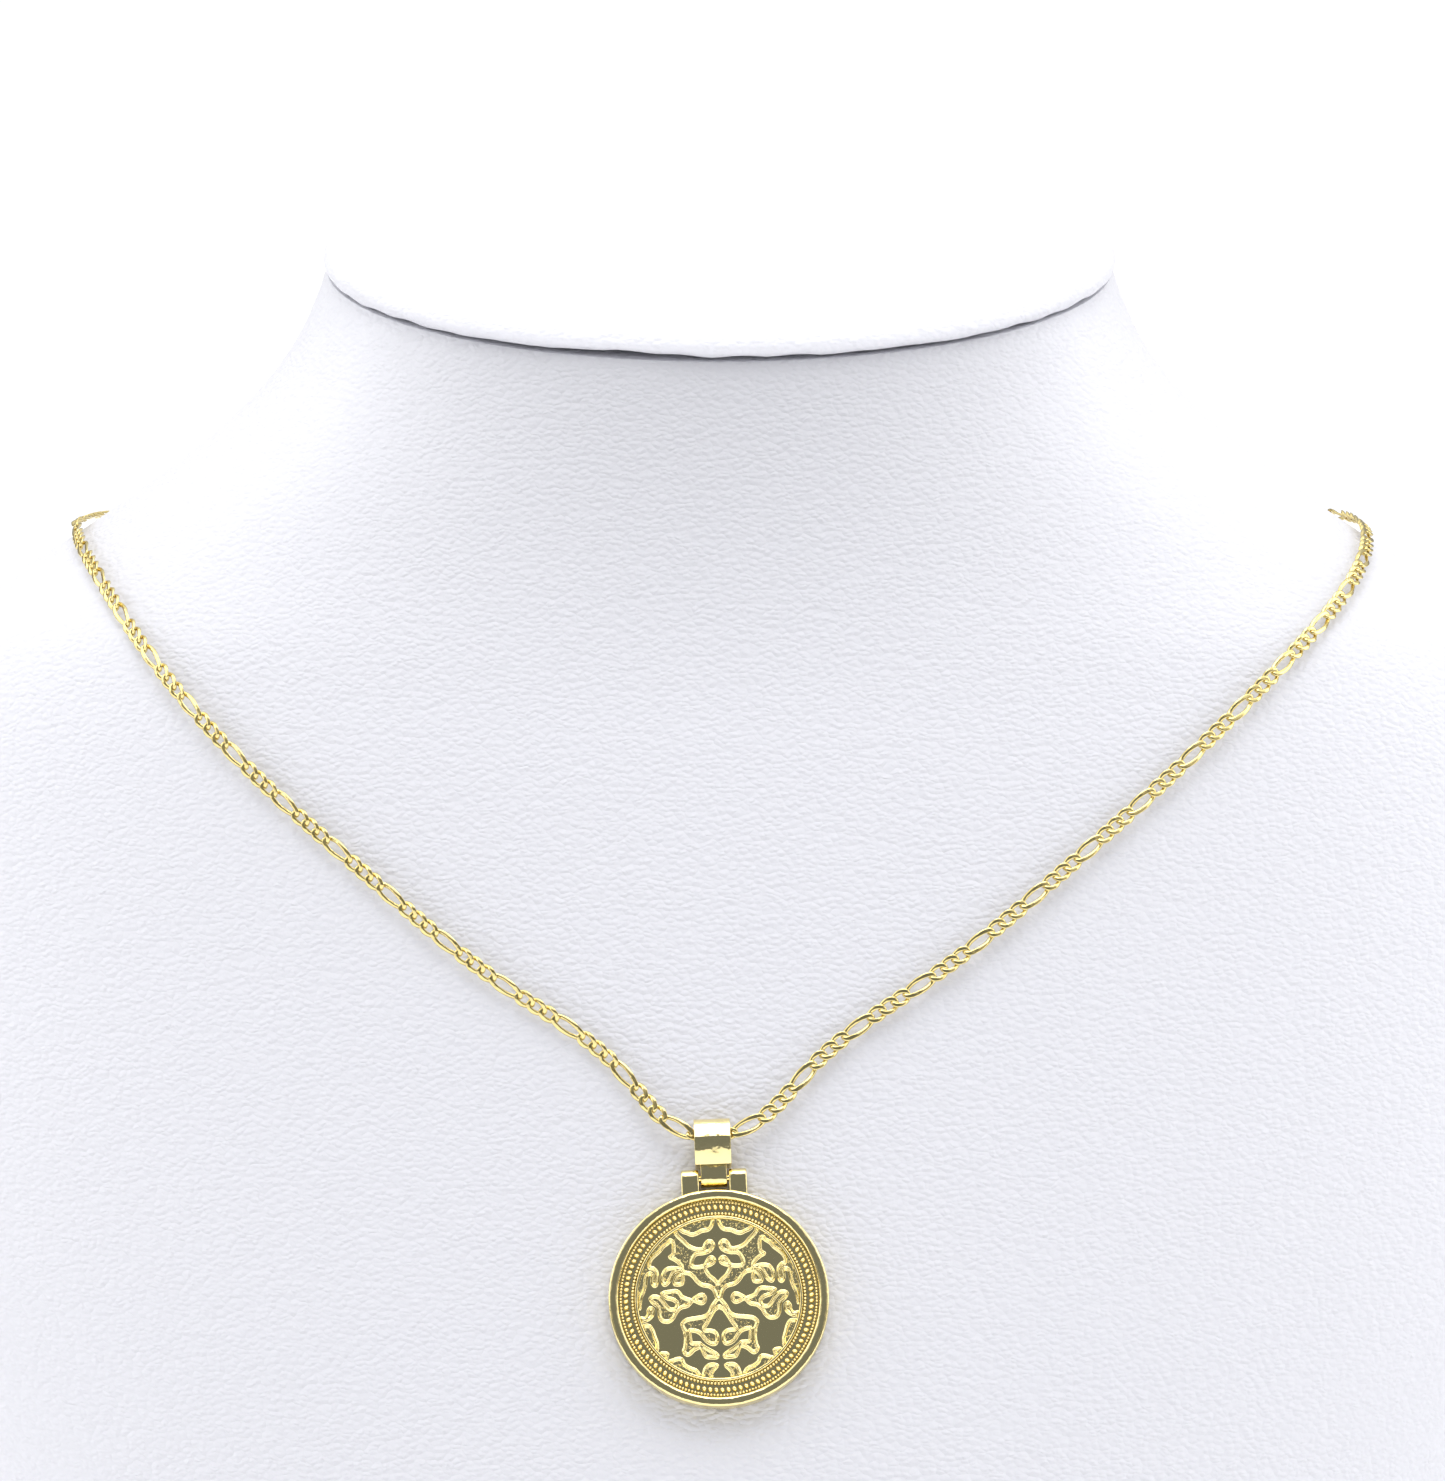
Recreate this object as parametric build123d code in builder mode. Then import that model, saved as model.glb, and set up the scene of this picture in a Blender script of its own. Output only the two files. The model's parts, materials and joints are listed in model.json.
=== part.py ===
from build123d import *
from math import cos, radians, sin, tan
import os

# Medallion pendant on a figaro chain, worn by a plain neck bust. Millimetres, +Z up.
# The front faces -Y. The origin is the centre of the bust's flat base.

# Bust
shoulder_width = 216.0
bust_depth = 128.0
chest_lean = 21.0
neck_depth = 64.0
neck_top_height = 163.8
neck_tilt = 15.5

# Cap on the neck
cap_thickness = 2.6
cap_overhang = 0.5
cap_edge_radius = 1.1
cap_gap = 0.15

# Medallion, across its face and through its thickness
medallion_diameter = 25.4
medallion_thickness = 2.4
rim_width = 1.15
bead_zone_width = 1.85
bead_radius = 0.34
milgrain_radius = 0.16
thin_ring_width = 0.4
thin_ring_height = 0.3
field_depth = 0.65
relief_height = 0.3
relief_gap = 0.03
edge_radius = 0.35

# Hang of the pendant on the chest
bail_height = 66.2
bail_offset = 0.8
hang_tilt = 2.3
pin_drop = 5.05
chest_gap = 0.3

# Bail, a strap bent round the chain, with the knuckle of the hinge below it
bail_width = 4.2
bail_wall = 0.75
chain_room = 1.05
ridge_reach = 2.1
ridge_drop = 0.6
foot_reach = 1.0
foot_drop = 3.7
knuckle_radius = 1.05
knuckle_width = 3.0
slot_radius = 0.65
slot_drop = 2.45

# Hinge between the bail and the medallion
pin_radius = 0.4
pin_clearance = 0.05
pin_back = 0.7
lug_width = 2.05
lug_gap = 0.25
pin_to_rim = 1.5
lug_radius = 1.05
lug_root = 0.95

# Chain
wire = 0.4
link_width = 1.7
short_link = 2.7
long_link = 4.75
link_play = 0.2
link_roll = 45.0
short_run = 3
chain_stand_off = 1.3
nape_height = 131.5

# Clasp
clasp_length = 13.0
clasp_width = 3.2
clasp_thickness = 1.4
clasp_edge_radius = 0.4
eye_clearance = 0.3

bust_front = -bust_depth / 2
bust_back = bust_depth / 2
neck_axis_y = bust_back - neck_depth / 2

# Sections of the bust from its base up. Columns: height as a share of the neck top's height, half
# width as a share of half the shoulder width, and the widest place as a share of the way from the
# bust's middle to the neck's axis.
bust_sections = [
    (0.00, 0.80, 0.00),
    (0.10, 0.865, 0.07),
    (0.22, 0.93, 0.18),
    (0.38, 0.985, 0.40),
    (0.54, 1.00, 0.68),
    (0.66, 0.975, 0.86),
    (0.73, 0.90, 0.96),
    (0.77, 0.797, 1.00),
    (0.83, 0.660, 1.00),
    (0.885, 0.555, 1.00),
    (0.93, 0.495, 1.00),
    (1.00, 0.447, 1.00),
    (1.10, 0.400, 1.00),
]

with BuildPart() as neck_bust:
    for height_share, width_share, widest_share in bust_sections:
        height = height_share * neck_top_height
        half_width = width_share * shoulder_width / 2
        widest_y = widest_share * neck_axis_y
        front_reach = widest_y - bust_front - height * tan(radians(chest_lean))
        back_reach = bust_back - widest_y
        with BuildSketch(Plane.XY.offset(height)):
            with BuildLine():
                EllipticalCenterArc((0, widest_y), half_width, front_reach, start_angle=180, arc_size=180)
                EllipticalCenterArc((0, widest_y), half_width, back_reach, start_angle=0, arc_size=180)
            make_face()
    loft()
    neck_plane = Plane(
        origin=(0, neck_axis_y, neck_top_height),
        x_dir=(1, 0, 0),
        z_dir=(0, -sin(radians(neck_tilt)), cos(radians(neck_tilt))),
    )
    split(bisect_by=neck_plane, keep=Keep.BOTTOM)
neck_bust.part.label = "neck_bust"
neck_top = neck_bust.faces().sort_by(Axis.Z)[-1]

# The oval cap follows the neck's top and stands a little proud of it
neck_outline = neck_plane.to_local_coords(neck_top).bounding_box()
with BuildPart() as neck_cap:
    with BuildSketch(neck_plane.offset(cap_gap)):
        with Locations((neck_outline.center().X, neck_outline.center().Y)):
            Ellipse(neck_outline.size.X / 2 + cap_overhang, neck_outline.size.Y / 2 + cap_overhang)
    extrude(amount=cap_thickness)
    cap_top = neck_cap.faces().sort_by(Axis.Z)[-1]
    fillet(cap_top.edges(), cap_edge_radius)
neck_cap.part.label = "neck_cap"

# Outlines of the raised ornament's right half, in millimetres from the middle of a face whose flat
# field has the chart's radius. The left half mirrors it. Outlines that meet are joined.
chart_radius = 9.3
ornament = {
    "arched_leaf": [
        (0.3, 9.3), (0.35, 8.5), (0.85, 7.95), (1.65, 7.8), (2.3, 7.5), (2.85, 7.4), (3.45, 7.65),
        (4.0, 7.9), (4.2, 8.35), (3.2, 8.78), (1.7, 9.18),
    ],
    "saltire_arm": [
        (4.7, 8.05), (4.4, 7.6), (3.7, 6.9), (3.1, 6.3), (2.3, 5.95), (1.65, 5.95), (1.4, 6.45),
        (1.05, 6.8), (0.6, 6.8), (0.28, 6.4), (0.35, 5.9), (0.8, 5.45), (1.55, 5.2), (2.25, 5.15),
        (2.6, 4.85), (2.85, 4.0), (2.2, 3.85), (1.55, 4.0), (1.3, 4.4), (0.95, 4.85), (0.5, 4.9),
        (0.2, 4.5), (0.35, 4.1), (0.75, 3.85), (1.3, 3.6), (0.95, 2.85), (0.0, 1.75), (0.0, -0.3),
        (0.35, 0.1), (0.65, 0.9), (1.1, 1.3), (1.9, 1.5), (2.5, 1.95), (2.95, 2.55), (3.4, 2.9),
        (3.95, 3.0), (4.2, 3.4), (4.25, 3.8), (4.55, 4.25), (5.05, 4.65), (5.6, 5.0), (5.15, 5.4),
        (5.1, 5.9), (5.15, 6.6), (5.5, 7.0), (5.6, 7.5),
    ],
    "high_ring_leaf": [
        (5.3, 7.7), (5.35, 6.75), (6.05, 6.2), (6.45, 5.7), (7.05, 5.2), (7.45, 4.8), (7.7, 4.2),
        (7.7, 3.6), (8.5, 3.9), (7.9, 5.0), (7.0, 6.2), (6.2, 7.0),
    ],
    "petal": [
        (4.15, 3.65), (5.1, 3.85), (5.85, 3.75), (6.25, 3.4), (6.5, 2.8), (6.55, 2.15), (6.3, 1.7),
        (5.9, 1.75), (5.5, 2.15), (5.2, 2.75), (4.9, 3.15), (4.1, 3.35),
    ],
    "bud": [
        (4.0, 2.95), (3.9, 2.1), (4.15, 1.7), (4.75, 1.65), (5.15, 1.8), (5.05, 2.3), (4.8, 2.8),
        (4.35, 3.15),
    ],
    "ring_scroll": [
        (8.65, 3.5), (7.6, 3.95), (7.0, 3.55), (6.85, 3.0), (6.85, 2.2), (7.05, 1.7), (7.4, 1.6),
        (7.7, 2.0), (7.65, 2.75), (7.8, 3.05), (8.05, 2.85), (8.2, 2.3), (8.3, 1.6), (8.5, 1.0),
        (8.8, 0.4), (8.95, -0.3), (9.1, -1.2), (9.28, -1.2), (9.35, 0.0), (9.1, 2.2),
    ],
    "almond": [
        (1.45, 0.05), (1.65, 0.5), (2.05, 0.6), (2.55, 0.4), (3.1, -0.05), (2.55, -0.45),
        (1.95, -0.65), (1.55, -0.4),
    ],
    "forked_leaf": [
        (3.0, -0.1), (3.7, 0.2), (4.15, 0.45), (4.45, 0.9), (4.9, 1.15), (5.65, 1.1), (6.3, 1.0),
        (6.65, 0.8), (6.4, 0.4), (5.95, 0.1), (5.3, -0.1), (4.95, -0.45), (5.05, -0.9), (5.5, -1.0),
        (5.85, -0.75), (6.15, -0.35), (6.5, 0.15), (7.0, 0.55), (7.6, 0.6), (8.0, 0.25),
        (7.75, -0.25), (7.2, -0.75), (7.05, -1.3), (7.0, -2.0), (6.65, -2.5), (6.1, -2.65),
        (5.6, -2.55), (5.15, -2.1), (4.8, -1.5), (4.3, -1.05), (3.65, -0.9), (3.2, -0.55),
    ],
    "comma": [
        (7.5, -1.0), (7.55, -1.7), (7.95, -2.15), (8.5, -2.4), (9.0, -2.4), (9.15, -1.9),
        (8.6, -1.95), (8.3, -1.6), (8.25, -1.1), (7.95, -0.7),
    ],
    "low_ring_leaf": [
        (8.1, -2.8), (7.65, -3.4), (7.4, -4.2), (7.15, -5.0), (7.2, -5.75), (7.4, -5.75),
        (8.1, -4.7), (8.6, -3.65), (8.9, -2.9),
    ],
    "triangle": [(6.0, -6.3), (6.35, -6.05), (6.95, -6.1), (6.9, -6.3), (6.3, -6.9)],
    "bottom_ring_leaf": [
        (2.6, -9.0), (2.6, -8.6), (2.9, -8.2), (3.6, -7.9), (4.15, -7.5), (4.35, -7.0),
        (4.7, -6.75), (5.2, -6.8), (5.75, -7.0), (6.05, -7.15), (5.2, -7.78), (4.0, -8.45),
    ],
    "hook": [
        (0.35, -7.85), (0.8, -7.6), (1.5, -7.65), (1.95, -8.05), (2.15, -8.6), (2.2, -9.1),
        (1.2, -9.28), (1.1, -8.9), (0.85, -8.45),
    ],
    "lobe": [
        (4.15, -3.7), (4.1, -4.5), (4.15, -5.1), (4.25, -5.6), (4.4, -6.0), (4.2, -6.4),
        (3.8, -6.6), (3.4, -6.4), (2.95, -6.0), (2.3, -5.65), (2.2, -5.15), (2.75, -5.05),
        (3.25, -5.0), (3.35, -4.5), (3.5, -3.7),
    ],
    "small_leaf": [
        (2.3, -5.2), (1.65, -5.65), (1.0, -6.05), (0.45, -6.4), (0.25, -6.75), (0.45, -7.0),
        (1.1, -7.0), (1.75, -6.9), (2.05, -6.5), (2.25, -6.0), (2.4, -5.6),
    ],
    "lower_band": [
        (0.0, -1.05), (0.4, -1.4), (0.8, -2.0), (1.2, -2.7), (1.7, -3.5), (1.3, -3.6),
        (0.9, -3.65), (0.45, -3.9), (0.25, -4.3), (0.2, -4.8), (0.35, -5.25), (0.65, -5.45),
        (1.1, -5.4), (1.6, -5.1), (1.95, -4.7), (2.25, -4.25), (2.7, -3.9), (3.4, -3.75),
        (4.1, -3.75), (4.35, -3.35), (4.45, -2.9), (4.25, -2.55), (3.75, -2.25), (2.75, -2.1),
        (1.8, -1.95), (1.25, -1.55), (0.9, -0.85), (0.35, -0.1), (0.0, 0.3),
    ],
}

# The pendant's own plane passes through the chain inside the bail. Its X runs along the hinge pin,
# its Y up the chest and its Z out of the chest.
bail_outer = chain_room + bail_wall
chest_y = bust_front + bail_height * tan(radians(chest_lean))
pivot_y = chest_y - (bail_outer + chest_gap) / cos(radians(chest_lean))
pivot = Vector(-bail_offset, pivot_y, bail_height)
across = Vector(1, 0, 0)
up_chest = Vector(0, sin(radians(chest_lean)), cos(radians(chest_lean)))
out_of_chest = across.cross(up_chest)
pin_direction = across * cos(radians(hang_tilt)) + up_chest * sin(radians(hang_tilt))
pendant_plane = Plane(origin=pivot, x_dir=pin_direction, z_dir=out_of_chest)

# Side view of the pendant: X out of the chest, Y up the chest, the origin on the chain
side_plane = Plane(origin=pivot, x_dir=out_of_chest, z_dir=-pin_direction)
pin_height = -pin_drop
knuckle_rise = pin_drop - foot_drop + bail_wall / 2

# Bail: a strap round the chain with a sharp ridge in front, closed at its foot. The knuckle is below.
with BuildPart() as bail:
    with BuildSketch(side_plane):
        with BuildLine():
            CenterArc((0, 0), bail_outer, 0, 360)
            Polyline((-bail_outer, -foot_drop), (foot_reach, -foot_drop), (ridge_reach, -ridge_drop))
        make_hull()
    extrude(amount=bail_width / 2, both=True)
    with BuildSketch(side_plane):
        with BuildLine():
            CenterArc((0, 0), chain_room, 0, 360)
            CenterArc((slot_radius - chain_room, -slot_drop), slot_radius, 0, 360)
        make_hull()
    extrude(amount=bail_width, both=True, mode=Mode.SUBTRACT)
    with BuildSketch(side_plane):
        with Locations((-pin_back, pin_height)):
            Circle(knuckle_radius)
            Rectangle(2 * knuckle_radius, knuckle_rise, align=(Align.CENTER, Align.MIN))
    extrude(amount=knuckle_width / 2, both=True)
    with BuildSketch(side_plane):
        with Locations((-pin_back, pin_height)):
            Circle(pin_radius + pin_clearance)
    extrude(amount=knuckle_width, both=True, mode=Mode.SUBTRACT)
bail.part.label = "bail"

hinge_half_width = knuckle_width / 2 + lug_gap + lug_width
with BuildPart() as hinge_pin:
    with BuildSketch(side_plane):
        with Locations((-pin_back, pin_height)):
            Circle(pin_radius)
    extrude(amount=hinge_half_width, both=True)
hinge_pin.part.label = "hinge_pin"

# Medallion: heights in its thickness are measured along the pendant plane's Z
medallion_radius = medallion_diameter / 2
back_level = -bail_outer
front_level = back_level + medallion_thickness
field_level = front_level - field_depth
rim_middle = medallion_radius - rim_width / 2
rim_inner = medallion_radius - rim_width
bead_row_radius = rim_inner - bead_zone_width / 2
milgrain_inset = (bead_zone_width / 2 - bead_radius) / 2
field_edge = rim_inner - bead_zone_width
field_radius = field_edge - thin_ring_width
ornament_scale = field_radius / chart_radius
thin_ring_shoulder = field_level + thin_ring_height - thin_ring_width / 2
centre = pendant_plane.from_local_coords(Vector(0, pin_height - pin_to_rim - medallion_radius, 0))
face_plane = Plane(origin=centre, x_dir=pin_direction, z_dir=out_of_chest)
turning_plane = Plane(origin=centre, x_dir=pin_direction, z_dir=-face_plane.y_dir)

with BuildPart() as medallion:
    with BuildSketch(turning_plane):
        with BuildLine():
            back = Line((0, back_level), (medallion_radius - edge_radius, back_level))
            corner = RadiusArc(back @ 1, (medallion_radius, back_level + edge_radius), -edge_radius)
            wall = Line(corner @ 1, (medallion_radius, front_level - rim_width / 2))
            rim_end = (rim_inner, front_level - rim_width / 2)
            ThreePointArc(wall @ 1, (rim_middle, front_level), rim_end)
            Polyline(
                rim_end,
                (rim_inner, field_level),
                (field_edge, field_level),
                (field_edge, thin_ring_shoulder),
            )
            thin_ring = ThreePointArc(
                (field_edge, thin_ring_shoulder),
                (field_edge - thin_ring_width / 2, field_level + thin_ring_height),
                (field_radius, thin_ring_shoulder),
            )
            Polyline(thin_ring @ 1, (field_radius, field_level), (0, field_level), (0, back_level))
        make_face()
        with Locations((bead_row_radius, field_level)):
            Circle(bead_radius)
        for row_radius in (rim_inner - milgrain_inset, field_edge + milgrain_inset):
            with Locations((row_radius, field_level)):
                Circle(milgrain_radius)
    revolve(axis=Axis(centre, out_of_chest))
    with BuildSketch(face_plane.offset(field_level)):
        for outline in ornament.values():
            with BuildLine():
                Polyline(*[(ornament_scale * x, ornament_scale * y) for x, y in outline], close=True)
            make_face()
        mirror(about=Plane.YZ)
        Circle(field_radius - relief_gap, mode=Mode.INTERSECT)
    extrude(amount=relief_height)
    for side in (-1, 1):
        with BuildSketch(side_plane.offset(side * (knuckle_width / 2 + lug_gap))):
            with Locations((-pin_back, pin_height)):
                Circle(lug_radius)
                Rectangle(2 * lug_radius, pin_to_rim + lug_root, align=(Align.CENTER, Align.MAX))
        extrude(amount=side * lug_width)
    with BuildSketch(side_plane):
        with Locations((-pin_back, pin_height)):
            Circle(pin_radius + pin_clearance)
    extrude(amount=medallion_radius, both=True, mode=Mode.SUBTRACT)
medallion.part.label = "medallion"

# Figaro chain. Each route point is an angle round the neck's axis from the front, in degrees, and a
# height as a share of the way from the bail to the nape. The chain lies on the bust there.
right_route = [
    (9.0, 0.105), (20.5, 0.245), (36.5, 0.445), (48.0, 0.605), (60.0, 0.778), (72.0, 0.90), (84.0, 0.973),
    (96.0, 0.99), (112.0, 0.965), (130.0, 0.95), (150.0, 0.965), (170.0, 0.995),
]
left_route = [
    (9.0, 0.09), (20.5, 0.23), (36.5, 0.43), (48.0, 0.59), (60.0, 0.78), (72.0, 0.915), (84.0, 0.98),
    (96.0, 0.99), (112.0, 0.965), (130.0, 0.95), (150.0, 0.965), (170.0, 0.995),
]


def on_bust(angle, height, side, stand_off):
    # The point on the bust at an angle round the neck's axis, moved off its surface
    outward = Vector(side * sin(radians(angle)), -cos(radians(angle)), 0)
    hits = neck_bust.part.find_intersection_points(Axis((0, neck_axis_y, height), outward))
    point, normal = max(hits, key=lambda hit: hit[0].dot(outward))
    return point + normal * stand_off


def chain_path(route, side):
    # From the middle of the bail, over one shoulder, to the nape
    leaves_bail = pivot + pin_direction * (side * bail_width / 2)
    points = [pivot, leaves_bail]
    for angle, rise in route + [(180.0, 1.0)]:
        height = bail_height + rise * (nape_height - bail_height)
        points.append(on_bust(angle, height, side, chain_stand_off))
    with BuildLine() as path:
        Spline(*points)
    return path.edges()[0]


def link_plane(path, start, end, roll):
    # A link spans two joints on the path, rolled about its own length
    first = path.position_at(start, position_mode=PositionMode.LENGTH)
    last = path.position_at(end, position_mode=PositionMode.LENGTH)
    along = (last - first).normalized()
    middle = (first + last) / 2
    outward = Vector(middle.X, middle.Y - neck_axis_y, middle.Z - bail_height)
    flat = (outward - along * outward.dot(along)).normalized()
    return Plane(origin=middle, x_dir=along, z_dir=flat.rotate(Axis((0, 0, 0), along), roll))


def link_solid(length):
    bend = (link_width - wire) / 2
    half_leg = (length - wire) / 2 - bend
    with BuildPart() as link:
        with BuildLine():
            upper = Line((0, bend), (half_leg, bend))
            far_end = JernArc(upper @ 1, (1, 0), bend, -180)
            lower = Line(far_end @ 1, (-half_leg, -bend))
            near_end = JernArc(lower @ 1, (-1, 0), bend, -180)
            Line(near_end @ 1, (0, bend))
        with BuildSketch(Plane(origin=(0, bend, 0), x_dir=(0, 1, 0), z_dir=(1, 0, 0))):
            RegularPolygon(wire / 2, 6)
        sweep()
    return link.part


# Each link spans the joints to its neighbours. Links are rolled in turn to the left and to the right.
short_span = short_link - 2 * wire - link_play
long_span = long_link - 2 * wire - link_play
short_planes = [pendant_plane.rotated((link_roll, 0, 0))]
long_planes = []
eye_planes = []
for side, route in ((1, right_route), (-1, left_route)):
    path = chain_path(route, side)
    joint = short_span / 2
    roll = -side * link_roll
    number = 1
    span = short_span
    while joint + span < path.length - clasp_length / 2:
        plane = link_plane(path, joint, joint + span, roll)
        if span == long_span:
            long_planes.append(plane)
        else:
            short_planes.append(plane)
        joint += span
        roll = -roll
        number += 1
        span = long_span if number % (short_run + 1) == (short_run + 1) // 2 else short_span
    eye_planes.append(link_plane(path, joint, joint + short_span, roll))

short_shape = link_solid(short_link)
long_shape = link_solid(long_link)
links = [short_shape.moved(plane.location) for plane in short_planes]
links += [long_shape.moved(plane.location) for plane in long_planes]
chain = Compound([solid for link in links for solid in link.solids()])
chain.label = "chain"

# Clasp at the nape: an eye for the last link at each end, and one plain closed body
right_eye, left_eye = eye_planes
clasp_middle = (right_eye.origin + left_eye.origin) / 2
eye_spacing = (right_eye.origin - left_eye.origin).length
body_length = eye_spacing - 2 * eye_clearance
clasp_plane = Plane(origin=clasp_middle, x_dir=left_eye.origin - right_eye.origin, z_dir=(0, 1, 0))
with BuildPart() as clasp:
    with BuildSketch(clasp_plane.offset(-clasp_thickness / 2)):
        SlotOverall(body_length, clasp_width)
    extrude(amount=clasp_thickness)
    fillet(clasp.faces().sort_by(Axis.Y)[-1].edges(), clasp_edge_radius)
    with Locations(right_eye.location, left_eye.location):
        add(link_solid(short_link))
clasp.part.label = "clasp"

os.makedirs("parts", exist_ok=True)
export_step(neck_bust.part, "parts/neck_bust.step")
export_step(neck_cap.part, "parts/neck_cap.step")
export_step(chain, "parts/chain.step")
export_step(clasp.part, "parts/clasp.step")
export_step(bail.part, "parts/bail.step")
export_step(hinge_pin.part, "parts/hinge_pin.step")
export_step(medallion.part, "parts/medallion.step")
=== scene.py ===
import json
import math

import bpy
import numpy as np
from mathutils import Matrix, Vector, kdtree


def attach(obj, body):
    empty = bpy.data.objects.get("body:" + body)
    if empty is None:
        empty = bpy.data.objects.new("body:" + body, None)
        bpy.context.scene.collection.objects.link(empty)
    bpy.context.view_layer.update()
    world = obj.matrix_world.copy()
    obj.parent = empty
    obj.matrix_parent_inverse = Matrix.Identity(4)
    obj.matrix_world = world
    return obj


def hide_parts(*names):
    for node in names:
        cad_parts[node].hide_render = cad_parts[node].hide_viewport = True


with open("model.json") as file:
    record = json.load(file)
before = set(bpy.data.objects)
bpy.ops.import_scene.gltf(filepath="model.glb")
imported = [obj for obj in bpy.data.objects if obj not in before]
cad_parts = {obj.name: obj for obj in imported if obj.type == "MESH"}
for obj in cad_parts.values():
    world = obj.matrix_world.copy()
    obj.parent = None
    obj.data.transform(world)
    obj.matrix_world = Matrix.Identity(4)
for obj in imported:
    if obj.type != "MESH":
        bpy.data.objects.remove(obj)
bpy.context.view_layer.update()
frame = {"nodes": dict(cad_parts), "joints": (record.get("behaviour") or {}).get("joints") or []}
mm = 0.001
print("frame loaded")


def hexLinear(text):  # sRGB hex to linear RGBA
    parts = [int(text[i : i + 2], 16) / 255 for i in (0, 2, 4)]
    return [c / 12.92 if c <= 0.04045 else ((c + 0.055) / 1.055) ** 2.4 for c in parts] + [1.0]


def addNode(tree, kind, inputs=None, **settings):  # an input takes a value or a node's output
    made = tree.nodes.new(kind)
    for name, value in settings.items():
        setattr(made, name, value)
    for name, value in (inputs or {}).items():
        if isinstance(value, bpy.types.NodeSocket):
            tree.links.new(value, made.inputs[name])
        else:
            made.inputs[name].default_value = value
    return made


def newMaterial(name):
    material = bpy.data.materials.new(name)
    material.use_nodes = True
    material.node_tree.nodes.clear()
    return material, material.node_tree


def ramp(value, start, end):  # smooth step from 0 at start to 1 at end
    t = np.clip((value - start) / (end - start), 0, 1)
    return t * t * (3 - 2 * t)


def arc(centreX, centreZ, radiusX, radiusZ, start, end, steps, roundness=2.0):
    # degrees; 2 gives an ellipse, more is fuller at the corners
    made = []
    for k in range(steps + 1):
        a = math.radians(start + (end - start) * k / steps)
        c, s = math.cos(a), math.sin(a)
        made.append((centreX + radiusX * math.copysign(abs(c) ** (2 / roundness), c),
            centreZ + radiusZ * math.copysign(abs(s) ** (2 / roundness), s)))
    return made


def gridFaces(rows, columns, closed=False):
    # the last row joins the first one, and so do the columns of a closed tube
    i, j = np.meshgrid(np.arange(rows), np.arange(columns - (not closed)), indexing="ij")
    nextI, nextJ = (i + 1) % rows, (j + 1) % columns
    corners = (i * columns + j, nextI * columns + j, nextI * columns + nextJ, i * columns + nextJ)
    return np.stack(corners, -1).reshape(-1, 4)


def makeMesh(name, points, faces, place, material, body, sharpAngle=None):
    # points in mm, in the frame that place gives
    turned = np.asarray(points, float) @ np.array(place.to_3x3()).T * mm
    turned += np.array(place.translation)
    faces = np.asarray(faces, np.int32)
    starts = np.arange(0, faces.size, faces.shape[1], dtype=np.int32)
    mesh = bpy.data.meshes.new(name)
    mesh.vertices.add(len(turned))
    mesh.vertices.foreach_set("co", turned.astype(np.float32).ravel())
    mesh.loops.add(faces.size)
    mesh.loops.foreach_set("vertex_index", faces.ravel())
    mesh.polygons.add(len(faces))
    mesh.polygons.foreach_set("loop_start", starts)
    mesh.update(calc_edges=True)
    mesh.validate()
    return placeMesh(name, mesh, material, body, sharpAngle)


def placeMesh(name, mesh, material, body, sharpAngle=None):
    mesh.materials.clear()
    mesh.materials.append(material)
    mesh.shade_smooth()
    if sharpAngle:
        mesh.set_sharp_from_angle(angle=math.radians(sharpAngle))
    made = bpy.data.objects.new(name, mesh)
    bpy.context.scene.collection.objects.link(made)
    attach(made, body)
    return made


def dressNode(name, material):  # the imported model's own piece, with another material
    mesh = frame["nodes"][name].data
    mesh.materials.clear()
    mesh.materials.append(material)


def placeAt(origin, xDir, yDir, zDir):
    return Matrix.Translation(origin) @ Matrix((xDir, yDir, zDir)).transposed().to_4x4()


goldLook = {
    "colour": "F4E2A3",  # pale yellow gold flash over brass
    "chainShadedColour": "E2CF8E",  # painted shade: the same gold made darker for the chain and clasp
    "roughness": 0.12,
    "waveSize": 1.3,  # mm, slight unevenness left by hand polishing
    "waveDepth": 0.11,  # mm, strong enough to break up the reflections
    "grainSize": 0.26,  # mm, grit of the stippled ground between the ridges
    "grainDepth": 0.06,  # mm
    "grainShare": (0.58, 0.7),  # noise levels where a grain starts and where it is full
}


def polishedGoldPlate(name, colour):
    # Buffed brass with a bright gold flash: mirror-like, a little uneven, cream where the light
    # is white
    material, tree = newMaterial(name)
    place = addNode(tree, "ShaderNodeTexCoord")
    wave = addNode(tree, "ShaderNodeTexNoise", {"Vector": place.outputs["Object"],
        "Scale": 1 / (goldLook["waveSize"] * mm), "Detail": 2.0})
    bump = addNode(tree, "ShaderNodeBump", {"Height": wave.outputs["Fac"],
        "Distance": goldLook["waveDepth"] * mm, "Strength": 1.0})
    metal = addNode(tree, "ShaderNodeBsdfPrincipled", {"Base Color": hexLinear(colour),
        "Metallic": 1.0, "Roughness": goldLook["roughness"], "Normal": bump.outputs["Normal"]})
    addNode(tree, "ShaderNodeOutputMaterial", {"Surface": metal.outputs["BSDF"]})
    return material


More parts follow.
